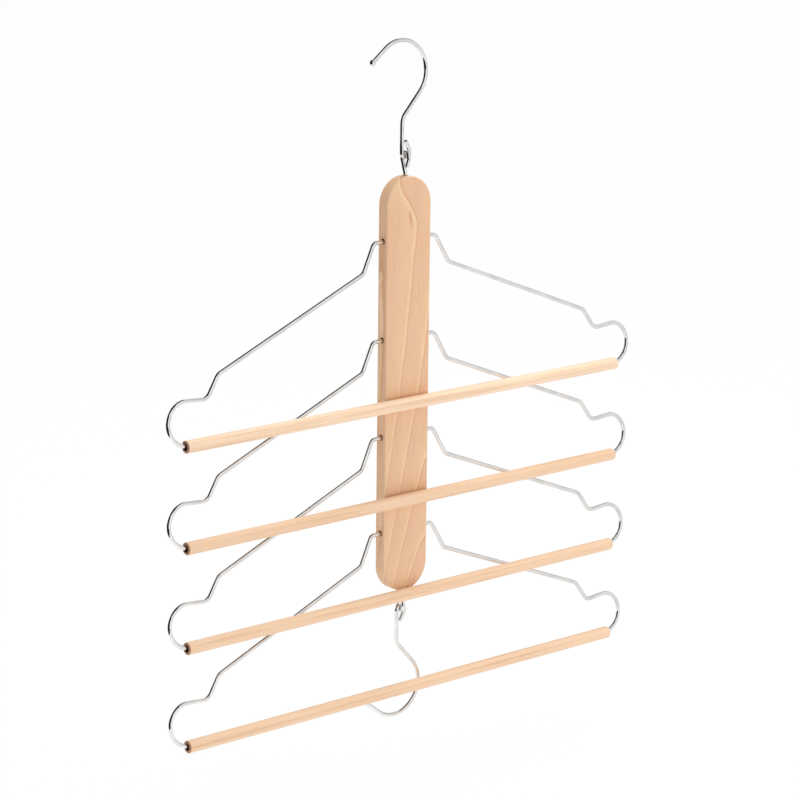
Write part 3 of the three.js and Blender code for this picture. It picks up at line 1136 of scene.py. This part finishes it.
def card(name, place, turn, length, width, finish):
    """A card that only mirrors see."""
    deselect_all()
    bpy.ops.mesh.primitive_plane_add(size=1.0, location=place, rotation=turn)
    sheet = bpy.context.active_object
    sheet.name = name
    sheet.scale = (length, width, 1)
    sheet.visible_camera = False
    sheet.visible_diffuse = False
    sheet.visible_transmission = False
    sheet.visible_shadow = False
    sheet.data.materials.append(finish)
    return sheet


black = card_paint("black_card", brightness=0.015)
dark_grey = card_paint("dark_grey_card", brightness=0.3)
soft_grey = card_paint("soft_grey_card", brightness=0.55)
grey = card_paint("grey_card", brightness=0.86)
light_grey = card_paint("light_grey_card", brightness=0.8)
print("Card paints:", black.name, dark_grey.name, soft_grey.name, grey.name, light_grey.name)

# %% Stand the cards round the hanger
# Each row is a name, a place, a turn, a length, a width and a paint. Places and sizes are in metres.
LEVEL = (0, 0, 0)
UPRIGHT = (0, math.pi / 2, 0)
ON_FLOOR = FLOOR_Z + 0.005
CEILING = 1.2
FRONT_CEILING = 1.3
cards = [
    card("left_wall_card", (-1.9, 0.3, 0.38), UPRIGHT, 1.8, 5.4, black),
    card("left_floor_card", (-1.75, 0.05, ON_FLOOR), LEVEL, 2.6, 4.9, black),
    card("back_ceiling_card", (-0.9, 1.55, CEILING), LEVEL, 3.2, 3.9, black),
    card("right_ceiling_card", (1.9, 1.25, CEILING), LEVEL, 2.4, 4.5, grey),
    card("left_ceiling_card", (-1.4, -0.85, CEILING), LEVEL, 2.2, 0.9, black),
    card("front_ceiling_card", (1.25, -1.9, FRONT_CEILING), LEVEL, 3.1, 3.0, grey),
    card("right_front_card", (0.45, -0.95, 0.1), UPRIGHT, 1.26, 2.1, light_grey),
    card("upper_front_card", (0.44, -0.35, 0.465), UPRIGHT, 0.53, 0.9, soft_grey),
    card("right_back_card", (0.45, 0.4, -0.29), UPRIGHT, 0.48, 0.6, dark_grey),
    card("right_floor_card", (1.3, 0.0, ON_FLOOR), LEVEL, 2.5, 2.4, grey),
]
print(len(cards), "cards stand round the hanger")

# %% [markdown]
# ## Camera
# The photograph was taken from the left and a little above, from about two metres, with a long lens. The
# camera has that place, that turn and that lens. The view transform is Standard, so that colours come out
# as they are written.

# %% Camera
CAMERA_PLACE = (-1.3306, -1.5664, 0.2606)
CAMERA_YAW = math.radians(40.40)
CAMERA_PITCH = math.radians(14.09)
CAMERA_ROLL = math.radians(0.66)
CAMERA_LENS = 133.85
SENSOR_WIDTH = 36.0
FARTHEST_SEEN = 100.0

bpy.ops.object.camera_add(location=CAMERA_PLACE)
camera = bpy.context.active_object
aim = Matrix.Rotation(-CAMERA_YAW, 4, "Z") @ Matrix.Rotation(math.pi / 2 - CAMERA_PITCH, 4, "X")
camera.matrix_world = Matrix.Translation(CAMERA_PLACE) @ aim @ Matrix.Rotation(CAMERA_ROLL, 4, "Z")
camera.data.sensor_width = SENSOR_WIDTH
camera.data.lens = CAMERA_LENS
camera.data.clip_end = FARTHEST_SEEN
bpy.context.scene.camera = camera
bpy.context.scene.view_settings.view_transform = "Standard"
print("Camera", round((camera.location - TARGET).length, 3), "m from the hanger")
